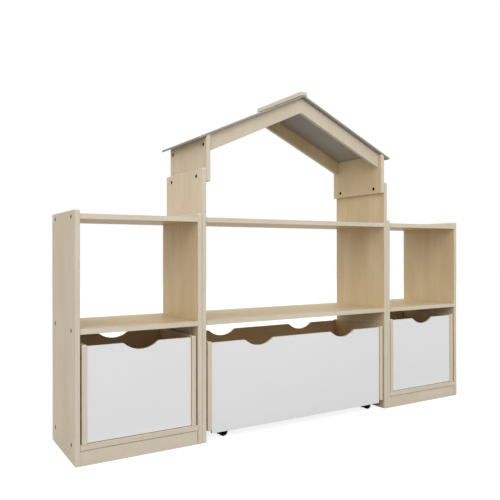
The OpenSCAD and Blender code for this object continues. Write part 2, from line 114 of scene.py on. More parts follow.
def bare_tree(owner):
    """The emptied node tree of a world or a material."""
    owner.use_nodes = True
    owner.node_tree.nodes.clear()
    return owner.node_tree


def feed(tree, node, **inputs):
    """Gives a node's inputs their values or links."""
    for name, value in inputs.items():
        by_order = name[0] == "i" and name[1:].isdigit()
        socket = node.inputs[int(name[1:]) if by_order else name.replace("_", " ")]
        if isinstance(value, bpy.types.Node):
            value = value.outputs[0]
        if isinstance(value, bpy.types.NodeSocket):
            tree.links.new(value, socket)
        else:
            socket.default_value = value
    return node


def add(tree, kind, settings=(), **inputs):
    """Adds a node with its settings and its inputs."""
    node = tree.nodes.new(kind)
    for name, value in dict(settings).items():
        setattr(node, name, value)
    return feed(tree, node, **inputs)


print("helpers ready for objects and nodes")

# %% [markdown]
# ## The camera
# The picture was taken from low down and well to the left, so the left cabinet looks larger than
# the right one. Its place and turn were found by fitting the cabinets' straight edges.
# A new camera looks straight down, with +Y up in the picture. So it is rolled first, then tipped
# up to the horizon and a little more, and last turned to the right.

# %% Place the camera
CAMERA_PLACE = Vector((-1219.2, -1808.6, 612.1)) * MM
CAMERA_YAW = 30.989  # degrees, like the next two
CAMERA_PITCH = 0.102
CAMERA_ROLL = -0.081
PICTURE_WIDTH = 500
FOCAL_PIXELS = 579.8
SENSOR_WIDTH = 36.0

camera_data = bpy.data.cameras.new("camera")
camera_data.sensor_width = SENSOR_WIDTH
camera_data.lens = FOCAL_PIXELS * SENSOR_WIDTH / PICTURE_WIDTH
camera_place = Matrix.Translation(CAMERA_PLACE)
for degrees, axis in ((-CAMERA_YAW, "Z"), (90 + CAMERA_PITCH, "X"), (CAMERA_ROLL, "Z")):
    camera_place = camera_place @ Matrix.Rotation(math.radians(degrees), 4, axis)
scene.camera = new_object("camera", camera_data)
scene.camera.matrix_world = camera_place
print("lens:", round(camera_data.lens, 2), "mm")

# %% [markdown]
# ## Light and background
# The picture shows the bookcase on plain white, lit softly from the front and the left.
# Four large area lamps do that, with a pale world that fills the shadows. The one above is the
# strongest, which gives the soft gradients under the roof and below the shelves. The world is white
# only for the camera and for reflections, so that the background doesn't add light to the wood.

# %% Light the scene
WORLD_LIGHT = 0.885
WHITE = (1, 1, 1, 1)
LAMPS = {
    # name: (place in metres, size in metres, power in watts)
    "top": (Vector((0.2, 0.4, 3.6)), 3.0, 56),
    "left": (Vector((-2.8, -3.2, 3.0)), 2.6, 44),
    "front": (Vector((0.2, -4.2, 2.0)), 2.6, 24),
    "right": (Vector((2.2, -2.4, 3.9)), 2.6, 10),
}
LAMPS_AIM = Vector((0, 0, 0.55))


def background_share(tree):
    """1 for the camera and for rays that reflect or pass through glass, and 0 for others."""
    rays = add(tree, "ShaderNodeLightPath").outputs
    share = rays["Is Camera Ray"]
    for kind in ("Is Glossy Ray", "Is Transmission Ray"):
        share = add(tree, "ShaderNodeMath", {"operation": "MAXIMUM"}, i0=share, i1=rays[kind])
    return share


def light_world():
    scene.world = bpy.data.worlds.new("studio")
    tree = bare_tree(scene.world)
    soft = add(tree, "ShaderNodeBackground", Color=WHITE, Strength=WORLD_LIGHT)
    seen = add(tree, "ShaderNodeBackground", Color=WHITE)
    mix = add(tree, "ShaderNodeMixShader", i0=background_share(tree), i1=soft, i2=seen)
    add(tree, "ShaderNodeOutputWorld", Surface=mix)


def add_lamp(name, place, size, power):
    data = bpy.data.lights.new(name, "AREA")
    data.shape = "SQUARE"
    data.size = size
    data.energy = power
    turn = (place - LAMPS_AIM).to_track_quat("Z", "Y").to_matrix().to_4x4()
    new_object(name, data).matrix_world = Matrix.Translation(place) @ turn


light_world()
for lamp_name, lamp in LAMPS.items():
    add_lamp(lamp_name, *lamp)
scene.view_settings.view_transform = "Standard"
print("lamps:", ", ".join(LAMPS))

# %% [markdown]
# ## The floor
# The bookcase stands on a plain pale floor. In the picture the floor is as white as the
# background. So the camera sees a white glow added to the real lit surface, which brings the open
# floor up to white and still keeps a faint shadow under the boards. Light that bounces from the
# floor to the wood comes from the real surface alone.

# %% Lay the floor
FLOOR_REACH = 8.0  # metres from the middle to each edge
FLOOR_GLOW = 0.86
FLOOR_GREY = 0.30


def floor_material():
    material = bpy.data.materials.new("studio_floor")
    tree = bare_tree(material)
    paint = add(tree, "ShaderNodeBsdfDiffuse", Color=(FLOOR_GREY, FLOOR_GREY, FLOOR_GREY, 1))
    strength = add(tree, "ShaderNodeMath", {"operation": "MULTIPLY"}, i0=background_share(tree),
                   i1=FLOOR_GLOW)
    glow = add(tree, "ShaderNodeEmission", Strength=strength)
    add(tree, "ShaderNodeOutputMaterial", Surface=add(tree, "ShaderNodeAddShader", i0=paint, i1=glow))
    return material


floor_corners = [(x * FLOOR_REACH, y * FLOOR_REACH, 0) for x, y in ((-1, -1), (1, -1), (1, 1), (-1, 1))]
floor_mesh = bpy.data.meshes.new("floor")
floor_mesh.from_pydata(floor_corners, [], [(0, 1, 2, 3)])
floor_mesh.materials.append(floor_material())
new_object("floor", floor_mesh)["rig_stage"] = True
print("floor:", 2 * FLOOR_REACH, "m wide")

# %% [markdown]
# ## Node helpers for the finishes
# A finish is a small network of shader nodes. These helpers add one step each, so that a material
# below reads as a list of what the surface is made of.

# %% Helpers for shader nodes


def new_material(name):
    """A new material, its node tree and the Principled shader that is its surface."""
    material = bpy.data.materials.new(name)
    tree = bare_tree(material)
    shader = add(tree, "ShaderNodeBsdfPrincipled")
    add(tree, "ShaderNodeOutputMaterial", Surface=shader)
    return material, tree, shader


def noise(tree, where, scale, detail, roughness=0.5):
    """Noise with one scale for all axes, or with one for each."""
    scale = scale if isinstance(scale, tuple) else (scale, scale, scale)
    place = add(tree, "ShaderNodeMapping", Vector=where, Scale=scale)
    return add(tree, "ShaderNodeTexNoise", Vector=place, Scale=1.0, Detail=detail, Roughness=roughness)


def spread(tree, value, low, high, to_low, to_high):
    """Maps a range of values onto another one."""
    return add(tree, "ShaderNodeMapRange", Value=value, From_Min=low, From_Max=high, To_Min=to_low,
               To_Max=to_high)


def ramp(tree, value, places, colours):
    """A colour ramp with a colour at each place."""
    node = add(tree, "ShaderNodeValToRGB", Fac=value)
    elements = node.color_ramp.elements
    while len(elements) < len(places):
        elements.new(1.0)
    for element, place, colour in zip(elements, places, colours):
        element.position = place
        element.color = colour
    return node


def mixed(tree, share, first, second, way="MIX"):
    """Two colours mixed by a share."""
    settings = {"data_type": "RGBA", "blend_type": way}
    return add(tree, "ShaderNodeMix", settings, i0=share, i6=first, i7=second).outputs[2]


def srgb(*levels):
    """A colour as it looks on the screen, 0 to 255, as the linear colour that shaders use."""
    shares = [level / 255 for level in levels]
    return (*[share / 12.92 if share <= 0.04045 else ((share + 0.055) / 1.055) ** 2.4
              for share in shares], 1)


print("screen white is", srgb(255, 255, 255))

# %% [markdown]
# ## Natural wood
# Every board is pale birch: straight grain, soft patches a hand wide, thin growth lines and very
# fine pores under a satin lacquer. The sawn edges and fronts are palest and the outer faces are a
# little warmer. The other kinds of face carry painted shade: the middle shelves' tops and the
# shelves' undersides are painted darker and warmer, and the inner faces are painted warmest, like
# wood lit by light from other wood. The boxes are painted a redder shade inside than the case.
# An image would tile and has no end grain, so the grain is computed from noise. Each board
# carries two attributes: `grain`, its own coordinates in metres with X along the grain, which
# start at another place in the pattern for each board, and `veneer`, from 0 on edges
# to 1 on inner faces, which picks the wood's colour or its painted shade for each face.

# %% Make the wood
GRAIN = "grain"
VENEER_AND_SHADE = "veneer"
# The last three kinds of face are painted shade: middle shelf tops, undersides and inner faces.
EDGE, FRONT, OUTER, SHELF_TOP_SHADE, UNDER_SHADE, INNER_SHADE = 0.0, 0.1, 0.5, 0.75, 0.88, 1.0
COLOURED = (EDGE, OUTER, SHELF_TOP_SHADE, UNDER_SHADE, INNER_SHADE)
SWAY_SCALE = (2.2, 5.0, 5.0)
SWAY = 0.012  # metres
GRAIN_NOISE = {
    # layer: (scale along the grain, scale across it, detail, roughness)
    "patches": (3.6, 13.0, 2.0, 0.5),
    "bands": (1.0, 60.0, 2.0, 0.5),
    "streaks": (4.0, 260.0, 3.0, 0.6),
    "fibres": (30.0, 1500.0, 2.0, 0.5),
    "pores": (75.0, 2600.0, 1.0, 0.5),
}
WOOD_SHINE = 0.05
FIBRE_RELIEF = 0.06


def wood_material(name, pale, warm, line, pore):
    """Wood in two shades for each kind of face, with darker lines and pores."""
    material, tree, shader = new_material(name)
    where = add(tree, "ShaderNodeAttribute", {"attribute_name": GRAIN}).outputs["Vector"]
    kind = add(tree, "ShaderNodeAttribute", {"attribute_name": VENEER_AND_SHADE}).outputs["Fac"]
    sway = spread(tree, noise(tree, where, SWAY_SCALE, 1.0), 0, 1, -SWAY, SWAY)
    bend = add(tree, "ShaderNodeCombineXYZ", Y=sway)
    place = add(tree, "ShaderNodeVectorMath", {"operation": "ADD"}, i0=where, i1=bend)
    layers = {layer: noise(tree, place, (along, across, across), detail, roughness)
              for layer, (along, across, detail, roughness) in GRAIN_NOISE.items()}

    # Each kind of face gets its colour here; for shelf tops, undersides and inner faces it is painted
    # shade.
    pale_shade = ramp(tree, kind, COLOURED, pale)
    warm_shade = ramp(tree, kind, COLOURED, warm)
    soft_patch = spread(tree, layers["patches"], 0.30, 0.70, 0.95, 0.05)
    soft_band = spread(tree, layers["bands"], 0.40, 0.66, 0, 0.45)
    thin_line = spread(tree, layers["streaks"], 0.54, 0.76, 0, 0.55)
    dark_pore = spread(tree, layers["pores"], 0.63, 0.74, 0, 0.5)
    fine = spread(tree, layers["fibres"], 0.25, 0.75, 0.95, 1.0)
    tint = add(tree, "ShaderNodeCombineColor", Red=fine, Green=fine, Blue=fine)
    colour = mixed(tree, soft_patch, pale_shade, warm_shade)
    colour = mixed(tree, soft_band, colour, warm_shade)
    colour = mixed(tree, thin_line, colour, line, "MULTIPLY")
    colour = mixed(tree, dark_pore, colour, pore, "MULTIPLY")
    colour = mixed(tree, 1.0, colour, tint, "MULTIPLY")
    feed(tree, shader, Base_Color=colour, Roughness=spread(tree, layers["streaks"], 0.3, 0.7, 0.36, 0.48),
         Specular_IOR_Level=WOOD_SHINE, Normal=add(tree, "ShaderNodeBump", Height=layers["fibres"],
                                                   Distance=FIBRE_RELIEF * MM, Strength=0.5))
    return material


# Colours for edges and outer faces, then the painted shade of middle shelf tops and of undersides.
pale_faces = (srgb(224, 215, 198), srgb(221, 208, 186), srgb(214, 199, 167), srgb(220, 200, 163))
warm_faces = (srgb(215, 205, 185), srgb(211, 195, 169), srgb(202, 182, 146), srgb(209, 183, 140))
birch_marks = {"line": srgb(238, 228, 214), "pore": srgb(205, 186, 164)}
# Each wood adds the painted shade of its inner faces as its last colour.
natural_wood = wood_material("natural_wood", pale=(*pale_faces, srgb(230, 214, 182)),
                             warm=(*warm_faces, srgb(218, 196, 157)), **birch_marks)
# The boxes' inner faces are painted a redder shade, for the shade inside them.
box_wood = wood_material("box_wood", pale=(*pale_faces, srgb(226, 200, 160)),
                         warm=(*warm_faces, srgb(214, 185, 140)), **birch_marks)
beech = wood_material("dowel_beech", pale=[srgb(222, 192, 152)] * 5, warm=[srgb(205, 168, 125)] * 5,
                      line=srgb(226, 206, 186), pore=srgb(190, 160, 130))
print("wood:", natural_wood.name, box_wood.name, beech.name)

# %% [markdown]
# ## White fronts, grey roof, metal and plastic
# The box fronts are white on the outside with a fine orange-peel texture. The roof sheets have a
# warm grey paint. The fasteners in the case are black, the smaller screws are zinc plated, and
# the casters are moulded in black plastic. None is one flat colour: paint drifts a little in
# tone, zinc has soft stains and fine brush marks, and plastic has dust and a spark-eroded grain.

# %% Make the other finishes
COATS = {
    # kind: (tone, gloss and relief as (scale, detail) of their noise, the tone's range,
    #        the most that the gloss goes down and up, the relief's strength)
    "paint": ((3.0, 3.0), (14.0, 4.0), (900.0, 1.0), (0.3, 0.7), (0.04, 0.05), 0.6),
    "metal": ((60.0, 4.0), (60.0, 4.0), ((4000.0, 600.0, 600.0), 2.0), (0.3, 0.7), (0.06, 0.08), 0.4),
    "plastic": ((90.0, 4.0), (90.0, 4.0), (2200.0, 2.0), (0.45, 0.8), (0.05, 0.08), 0.5),
}


def coated(name, kind, first, second, gloss, height, shine=0.5):
    """A finish in two close tones, with wear in its gloss and a fine relief of a given height."""
    tone, wear, relief, tone_range, gloss_range, strength = COATS[kind]
    material, tree, shader = new_material(name)
    where = add(tree, "ShaderNodeTexCoord").outputs["Object"]
    drift = spread(tree, noise(tree, where, *tone), *tone_range, 0, 1)
    worn = spread(tree, noise(tree, where, *wear), 0.3, 0.7, gloss - gloss_range[0], gloss + gloss_range[1])
    bump = add(tree, "ShaderNodeBump", Height=noise(tree, where, *relief), Distance=height * MM,
               Strength=strength)
    feed(tree, shader, Base_Color=mixed(tree, drift, first, second), Roughness=worn, Normal=bump,
         Metallic=float(kind == "metal"), Specular_IOR_Level=shine)
    return material


black_tones = (srgb(10, 9, 9), srgb(20, 18, 17))
white_laminate = coated("white_laminate", "paint", srgb(233, 233, 234), srgb(230, 230, 231), 0.40, 0.02)
grey_paint = coated("grey_paint", "paint", srgb(152, 148, 140), srgb(146, 142, 134), 0.55, 0.03)
sheet_edge = coated("sheet_edge", "paint", srgb(158, 150, 139), srgb(151, 143, 132), 0.60, 0.05)
black_screw = coated("black_oxide", "plastic", srgb(6, 5, 4), srgb(13, 11, 9), 0.70, 0.005, shine=0.01)
zinc = coated("zinc", "metal", srgb(196, 197, 196), srgb(172, 174, 176), 0.34, 0.01)
black_body = coated("black_nylon", "plastic", *black_tones, 0.60, 0.02, shine=0.06)
black_wheel = coated("black_wheel", "plastic", *black_tones, 0.60, 0.01, shine=0.06)
print("kinds of coat:", ", ".join(COATS))

# %% [markdown]
# ## From a tool's result to a finished piece
# Each piece ends as a plain mesh at the origin, with its place in its points. Its soft arrises
# need normals that stay flat on the broad faces, which a Weighted Normal modifier gives.
# The grain attribute is written last, from the finished points.

# %% Helpers for pieces
CREASE = math.radians(50)
BROAD_WEIGHT = 80
GRAIN_STEP = Vector((1.37, 0.61, 0.43))  # metres in the pattern from one board to the next
ALONG = {"X": (0, 1, 2), "Y": (1, 2, 0), "Z": (2, 0, 1)}
AXIS = {"X": Vector((1, 0, 0)), "Y": Vector((0, 1, 0)), "Z": Vector((0, 0, 1))}
FACING = 0.9
boards_made = []


def span(node):
    """The lowest and highest corner of a node's box, in millimetres."""
    low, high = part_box(node)
    return low / MM, high / MM


def plain(source):
    """The evaluated object as a plain mesh object, with no modifiers left."""
    name = source.name
    depsgraph = bpy.context.evaluated_depsgraph_get()
    mesh = bpy.data.meshes.new_from_object(source.evaluated_get(depsgraph),
                                           preserve_all_data_layers=True, depsgraph=depsgraph)
    bpy.data.objects.remove(source)
    mesh.name = name
    return new_object(name, mesh)


def editable(mesh):
    """A mesh opened for editing."""
    work = bmesh.new()
    work.from_mesh(mesh)
    return work


def close_into(work, mesh):
    """Writes an edited mesh back and closes it."""
    work.to_mesh(mesh)
    work.free()


def shaped(name, work):
    """A new object from an edited mesh."""
    mesh = bpy.data.meshes.new(name)
    close_into(work, mesh)
    return new_object(name, mesh)


def smoothed(piece):
    """Smooth shading that keeps broad faces flat and true corners sharp."""
    piece.data.shade_smooth()
    piece.data.set_sharp_from_angle(angle=CREASE)
    normals = piece.modifiers.new("normals", "WEIGHTED_NORMAL")
    normals.keep_sharp = True
    normals.weight = BROAD_WEIGHT
    return plain(piece)


def soften(piece, radius, segments=3, keep=None):
    """Rounds the arrises of a mesh, but only those that keep(edge) accepts."""
    work = editable(piece.data)
    bmesh.ops.recalc_face_normals(work, faces=work.faces)
    edges = [edge for edge in work.edges
             if len(edge.link_faces) == 2 and edge.calc_face_angle() > CREASE
             and (keep is None or keep(edge))]
    bmesh.ops.bevel(work, geom=edges, offset=radius * MM, segments=segments, profile=0.5,
                    affect="EDGES", clamp_overlap=True)
    close_into(work, piece.data)
    return piece


def vectors(rows, field):
    """One vector of each point or face of a mesh, as the rows of an array."""
    flat = np.empty(len(rows) * 3, np.float32)
    rows.foreach_get(field, flat)
    return flat.reshape(-1, 3)


def write_grain(piece, along, inner="", front=FRONT, top=None, rim=None):
    """Writes the wood's coordinates, first along the grain, and the kind of each face.

    `inner` names the side that gets the painted shade of an inner face, such as "+X". A shelf gives
    a kind for its top, and then the face below it gets the painted shade of an underside,
    UNDER_SHADE. Above the rim, a height in metres, the inner side gets no painted shade and is
    coloured like the outer one.
    """
    mesh = piece.data
    points = vectors(mesh.vertices, "co")
    low = points.min(axis=0)
    boards_made.append(piece.name)
    start = np.array(GRAIN_STEP * len(boards_made), np.float32)
    grain = (points - low)[:, ALONG[along]] + start
    layer = mesh.attributes.new(GRAIN, "FLOAT_VECTOR", "POINT")
    layer.data.foreach_set("vector", grain.astype(np.float32).ravel())
    normals = vectors(mesh.polygons, "normal")
    thin = int(np.argmin(points.max(axis=0) - low))
    kind = np.where(np.abs(normals[:, thin]) > FACING, OUTER, EDGE)
    kind[normals[:, 1] < -FACING] = front
    # Inner faces, undersides and some shelf tops get painted shade here, by the way they face.
    if inner:
        facing = normals @ np.array(AXIS[inner[1]]) * (1 if inner[0] == "+" else -1)
        kind[facing > FACING] = INNER_SHADE
    if top is not None:
        kind[normals[:, 2] > FACING] = top
        kind[normals[:, 2] < -FACING] = UNDER_SHADE
    if rim is not None:
        kind[(vectors(mesh.polygons, "center")[:, 2] > rim) & (kind == INNER_SHADE)] = OUTER
    layer = mesh.attributes.new(VENEER_AND_SHADE, "FLOAT", "FACE")
    layer.data.foreach_set("value", kind.astype(np.float32))


def install(piece, node, material):
    """Gives a finished piece its material and its body, and hides the CAD node that it stands for."""
    if material:
        piece.data.materials.clear()
        piece.data.materials.append(material)
        piece.data.polygons.foreach_set("material_index", [0] * len(piece.data.polygons))
    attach(piece, frame["nodes"][node]["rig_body"])
    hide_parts(node)


print("grain axes:", ", ".join(ALONG))

# %% [markdown]
# ## Trees of geometry nodes
# A Geometry Nodes tree is a recipe with named inputs. Three are used here: one cuts every plain
# board, because all follow one rule, one sets a fastener at each of its places, and one sets the
# ribs of a wheel. An input is set by the socket's identifier before the object is evaluated.

# %% Helpers for geometry nodes


def new_tree(name, **sockets):
    """A Geometry Nodes group with one geometry in, one out, and the named inputs."""
    tree = bpy.data.node_groups.new(name, "GeometryNodeTree")
    for way in ("INPUT", "OUTPUT"):
        tree.interface.new_socket("Geometry", in_out=way, socket_type="NodeSocketGeometry")
    for label, kind in sockets.items():
        tree.interface.new_socket(label, in_out="INPUT", socket_type="NodeSocket" + kind)
    return tree, add(tree, "NodeGroupInput").outputs


def part_copies(tree, given, points, turn):
    """A copy of the given Part on each point."""
    part = add(tree, "GeometryNodeObjectInfo", Object=given["Part"])
    return add(tree, "GeometryNodeInstanceOnPoints", Points=points, Instance=part.outputs["Geometry"],
               Rotation=turn)


def end_tree(tree, given, result):
    """The last nodes of a tree: real geometry, with the given Finish."""
    real = add(tree, "GeometryNodeRealizeInstances", Geometry=result)
    finish = add(tree, "GeometryNodeSetMaterial", Geometry=real, Material=given["Finish"])
    add(tree, "NodeGroupOutput", Geometry=finish)
    return tree


def run_tree(tree, base, **values):
    """Runs a tree on an object and returns the result as a plain mesh object."""
    modifier = base.modifiers.new(tree.name, "NODES")
    modifier.node_group = tree
    for item in tree.interface.items_tree:
        if item.item_type == "SOCKET" and item.in_out == "INPUT" and item.name in values:
            modifier[item.identifier] = values[item.name]
    return plain(base)


print("helpers ready for geometry")

# %% [markdown]
# ## The rule for a plain board
# A plain board is a rectangle with rounded corners, given a thickness. The tree draws the
# rectangle as a curve, rounds its corners with their own radius at the top and at the foot, fills
# it, and pushes a copy of the face up by the thickness.

# %% Build the board tree


def board_tree():
    tree, given = new_tree("board", Length="Float", Width="Float", Thickness="Float",
                           Top_Radius="Float", Foot_Radius="Float", Finish="Material")
    outline = add(tree, "GeometryNodeCurvePrimitiveQuadrilateral", Width=given["Width"],
                  Height=given["Length"])
    place = add(tree, "ShaderNodeSeparateXYZ", Vector=add(tree, "GeometryNodeInputPosition"))
    upper = add(tree, "FunctionNodeCompare", {"data_type": "FLOAT", "operation": "GREATER_THAN"},
                A=place.outputs["Y"], B=0.0)
    radius = add(tree, "GeometryNodeSwitch", {"input_type": "FLOAT"}, Switch=upper,
                 i1=given["Foot_Radius"], i2=given["Top_Radius"])
    rounded = add(tree, "GeometryNodeFilletCurve", {"mode": "POLY"}, Curve=outline, Count=6,
                  Radius=radius)
    face = add(tree, "GeometryNodeFillCurve", {"mode": "NGONS"}, Curve=rounded)
    raised = add(tree, "GeometryNodeExtrudeMesh", {"mode": "FACES"}, Mesh=face,
                 Offset_Scale=given["Thickness"], Individual=False)
    join = add(tree, "GeometryNodeJoinGeometry", Geometry=raised)
    feed(tree, join, Geometry=add(tree, "GeometryNodeFlipFaces", Mesh=face))
    closed = add(tree, "GeometryNodeMergeByDistance", Geometry=join, Distance=1e-6)
    return end_tree(tree, given, closed)


BOARD = board_tree()
print("inputs:", [item.name for item in BOARD.interface.items_tree if item.in_out == "INPUT"])

# %% [markdown]
# ## Where each fastener sits
# The frame holds every screw, bolt and dowel as a closed solid. The middle of such a turned solid
# lies on its axis, and its long direction is the axis, so both can be read from its points. The
# head is the end where the solid is wider. A dowel is the same from both ends, so its place is one
# end of its solid.

# %% Read the fasteners' places
FASTENERS = {
    # node: (kind, slot, finish, seed of the twists)
    "case_screws": ("case_screw", "black_steel", black_screw, 3),
    "join_bolts": ("join_bolt", "black_steel", black_screw, 5),
    "roof_screws": ("roof_screw", "zinc_screw", zinc, 7),
    "left_bin_screws": ("box_screw", "zinc_screw", zinc, 11),
    "right_bin_screws": ("box_screw", "zinc_screw", zinc, 12),
    "chest_screws": ("box_screw", "zinc_screw", zinc, 13),
    "plate_screws": ("plate_screw", "zinc_screw", zinc, 17),
    "join_sleeves": ("sleeve_nut", "black_steel", black_screw, 19),
    "kick_dowels": ("dowel", "dowel_wood", beech, 23),
}
END_LAYER = 0.1 * MM
WIDE_SHARE = 0.9


def islands(node):
    """The points of each separate solid in a CAD node."""
    work = editable(frame["nodes"][node].data)
    bmesh.ops.remove_doubles(work, verts=work.verts, dist=1e-7)
    left = set(work.verts)
    solids = []
    while left:
        stack = [min(left, key=lambda vert: vert.index)]
        left.discard(stack[0])
        solid = []
        while stack:
            vert = stack.pop()
            solid.append(vert.co.copy())
            for edge in vert.link_edges:
                other = edge.other_vert(vert)
                if other in left:
                    left.discard(other)
                    stack.append(other)
        solids.append(np.array(solid))
    work.free()
    return solids


def head_place(points):
    """The centre of the outer end of the head, and the direction out of it."""
    middle = (points.max(axis=0) + points.min(axis=0)) / 2
    axis = np.linalg.svd(points - points.mean(axis=0))[2][0]
    along = (points - middle) @ axis
    off = np.linalg.norm(points - middle - np.outer(along, axis), axis=1)
    wide = along[off > WIDE_SHARE * off.max()].mean()
    way = axis if wide > along.mean() else -axis
    along = (points - middle) @ way
    near = points[along > along.max() - END_LAYER]
    return Vector((near.max(axis=0) + near.min(axis=0)) / 2), Vector(way)


places = {node: [head_place(points) for points in islands(node)] for node in FASTENERS}
for node, found in places.items():
    print(node, len(found))

# %% [markdown]
# ## Turned parts
# Screws, bolts, dowels and wheels come off a lathe or out of a round mould, so each is a row of
# rings around one axis. A ring can also be a hexagon, for a key's socket, or fluted, for a dowel.
# All rings have the same number of points, so they join in clean quads.

# %% Helper for turned parts
ROUND_POINTS = 24
FLUTE_DEPTH = 0.35


def ring_radius(form, radius, index, angle):
    """The distance from the axis of one point of a ring."""
    if "hex" in form:
        return radius / math.cos(angle % (math.tau / 6) - math.tau / 12)
    if "fluted" in form and index % 2:
        return radius - FLUTE_DEPTH
    return radius


def turned(name, rings, count=ROUND_POINTS, bored=False):
    """A closed mesh around Z from rings of (height, radius) or (height, radius, form)."""
    work = bmesh.new()
    loops = []
    for height, radius, *form in rings:
        loop = []
        for index in range(count):
            angle = math.tau * index / count
            reach = ring_radius(form, radius, index, angle) * MM
            loop.append(work.verts.new((reach * math.cos(angle), reach * math.sin(angle), height * MM)))
        loops.append(loop)
    pairs = list(zip(loops, loops[1:]))
    if bored:
        pairs.append((loops[-1], loops[0]))
    for first, second in pairs:
        for index in range(count):
            after = (index + 1) % count
            work.faces.new((first[index], first[after], second[after], second[index]))
    if not bored:
        work.faces.new(loops[0])
        work.faces.new(loops[-1])
    bmesh.ops.recalc_face_normals(work, faces=work.faces)
    return shaped(name, work)


def threads(top, foot, core, crest, pitch):
    """Rings of a thread from one height down to another."""
    turns = int((top - foot) / pitch)
    shape = ((0.0, core), (0.35, crest), (0.50, crest), (0.85, core))
    return [(top - (turn + share) * pitch, radius) for turn in range(turns) for share, radius in shape]


print("points on a ring:", ROUND_POINTS)

# %% [markdown]
# ## The fasteners and their holes
# The black screws of the case are coarse furniture screws with a flat head and a hexagon socket.
# The cheeks and the cabinets are joined by bolts that meet a sleeve nut from the other side. The
# toe kicks are held by fluted beech dowels. Each kind is drawn once, head at the top, with the
# hole that it needs. Holes have 0.15 mm of room all round, and a chamfer where a head is sunk.

# %% Draw each kind of fastener
shelf_low, shelf_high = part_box("left_top_shelf")
BOARD_THICKNESS = (shelf_high.z - shelf_low.z) / MM
GRIP = 2 * BOARD_THICKNESS
SUNK = 0.3
ROOM = 0.15
CHAMFER = 0.4
TIP = 0.3
HEAD = 6.25
HEAD_HEIGHT = 2.7
SOCKET = 2.0
SHANK = 3.5
CORE = 2.4
CASE_SCREW = 49.7
BOLT = 3.0
SLEEVE = 4.0
ROOF_SCREW = {"radius": 3.0, "shank": 1.5, "length": 29.9}
BOX_SCREW = {"radius": 3.6, "shank": 1.9, "length": 37.9}
PLATE_SHANK = 1.5
DOWEL = 3.0
DOWEL_LENGTH = 28.0


def countersunk(radius, shank, length):
    """Rings of a countersunk wood screw with a small socket and a coarse thread."""
    neck = radius - shank
    return [(-neck * 0.8, 0.2), (-neck * 0.8, radius * 0.34, "hex"), (-0.1, radius * 0.36, "hex"),
            (0, radius * 0.5), (0, radius - 0.2), (-0.2, radius), (-neck - 0.2, shank),
            (-length * 0.35, shank), *threads(-length * 0.38, -length * 0.9, shank * 0.72, shank, 1.6),
            (-length * 0.92, shank * 0.6), (-length, 0.15)]


def countersunk_hole(radius, shank, length):
    """Rings of the hole for a countersunk screw."""
    return [(1, radius + ROOM), (0, radius + ROOM), (shank - radius - 0.1, shank + ROOM),
            (2.9 - length, shank + ROOM), (-length - 0.2, TIP)]


inner_end = SUNK - BOARD_THICKNESS
far_face = SUNK - GRIP
flat_head = [(-SOCKET, TIP), (-SOCKET, SOCKET, "hex"), (-0.15, SOCKET, "hex"), (0, SOCKET + 0.35),
             (0, HEAD - 0.45), (-0.13, HEAD - 0.13), (-0.45, HEAD), (-HEAD_HEIGHT, HEAD)]
mouth = [(SUNK + 1, HEAD + ROOM + CHAMFER), (SUNK, HEAD + ROOM + CHAMFER), (SUNK - CHAMFER, HEAD + ROOM),
         (-HEAD_HEIGHT - ROOM, HEAD + ROOM)]
far_mouth = [(SUNK + far_face - height, radius) for height, radius in reversed(mouth)]
KINDS = {
    # kind: (rings of the part, rings of its hole)
    "case_screw": (
        [*flat_head, (-HEAD_HEIGHT - 1.2, SHANK), (inner_end + 0.5, SHANK),
         *threads(inner_end - 0.5, -CASE_SCREW + 4, CORE, SHANK - 0.1, 3.0),
         (-CASE_SCREW + 3, CORE), (-CASE_SCREW, 0.4)],
        [*mouth, (-HEAD_HEIGHT - 1.3, SHANK + ROOM), (inner_end + 0.3, SHANK + ROOM),
         (inner_end - 0.5, CORE + ROOM), (-CASE_SCREW + 3, CORE + ROOM), (-CASE_SCREW - ROOM, 0.4)]),
    "join_bolt": (
        [*flat_head, (-HEAD_HEIGHT, BOLT), (-9, BOLT), *threads(-9.5, -24, BOLT - 0.45, BOLT, 1.0),
         (-24.2, BOLT - 0.45), (-24.7, BOLT - 0.9)],
        [*mouth, (mouth[-1][0], SLEEVE + ROOM), (far_mouth[0][0], SLEEVE + ROOM), *far_mouth]),
    "sleeve_nut": (
        [*flat_head, (-HEAD_HEIGHT, SLEEVE), (far_face + 5.3, SLEEVE), (far_face + 5, SLEEVE - 0.3),
         (far_face + 5, BOLT + ROOM), (-4.4, BOLT + ROOM), (-4.2, TIP)], None),
    "roof_screw": (countersunk(**ROOF_SCREW), countersunk_hole(**ROOF_SCREW)),
    "box_screw": (countersunk(**BOX_SCREW), countersunk_hole(**BOX_SCREW)),
    "plate_screw": (
        [(-0.5, 0.2), (-0.5, 0.8, "hex"), (-0.1, 0.85, "hex"), (0, 1.3), (-0.15, 2.1), (-0.55, 2.5),
         (-1, 2.6), (-1, PLATE_SHANK), (-3, PLATE_SHANK), *threads(-3.2, -10, 1.05, PLATE_SHANK, 1.2),
         (-10.3, 0.9), (-11, 0.15)],
        [(-0.95, PLATE_SHANK + ROOM), (-3.2, PLATE_SHANK + ROOM), (-3.3, 1.15), (-11.1, 1.15)]),
    "dowel": (
        [(0, DOWEL - 0.8), (-0.9, DOWEL), (-1.4, DOWEL, "fluted"), (1.4 - DOWEL_LENGTH, DOWEL, "fluted"),
         (0.9 - DOWEL_LENGTH, DOWEL), (-DOWEL_LENGTH, DOWEL - 0.8)],
        [(ROOM, DOWEL + ROOM), (-DOWEL_LENGTH - ROOM, DOWEL + ROOM)]),
}
for kind, drawn in KINDS.items():
    print(kind, len(drawn[0]), "rings")

# %% [markdown]
# ## One tree sets every fastener
# The tree puts a copy of one part on every point. Each point carries the direction out of its
# hole, and the part is turned to it. A real screw stops at any angle, so a random twist with a
# fixed seed turns each socket differently. The same tree sets the holes' shapes, which are then
# cut out of the boards.

# %% Set the fasteners
WAY = "way"


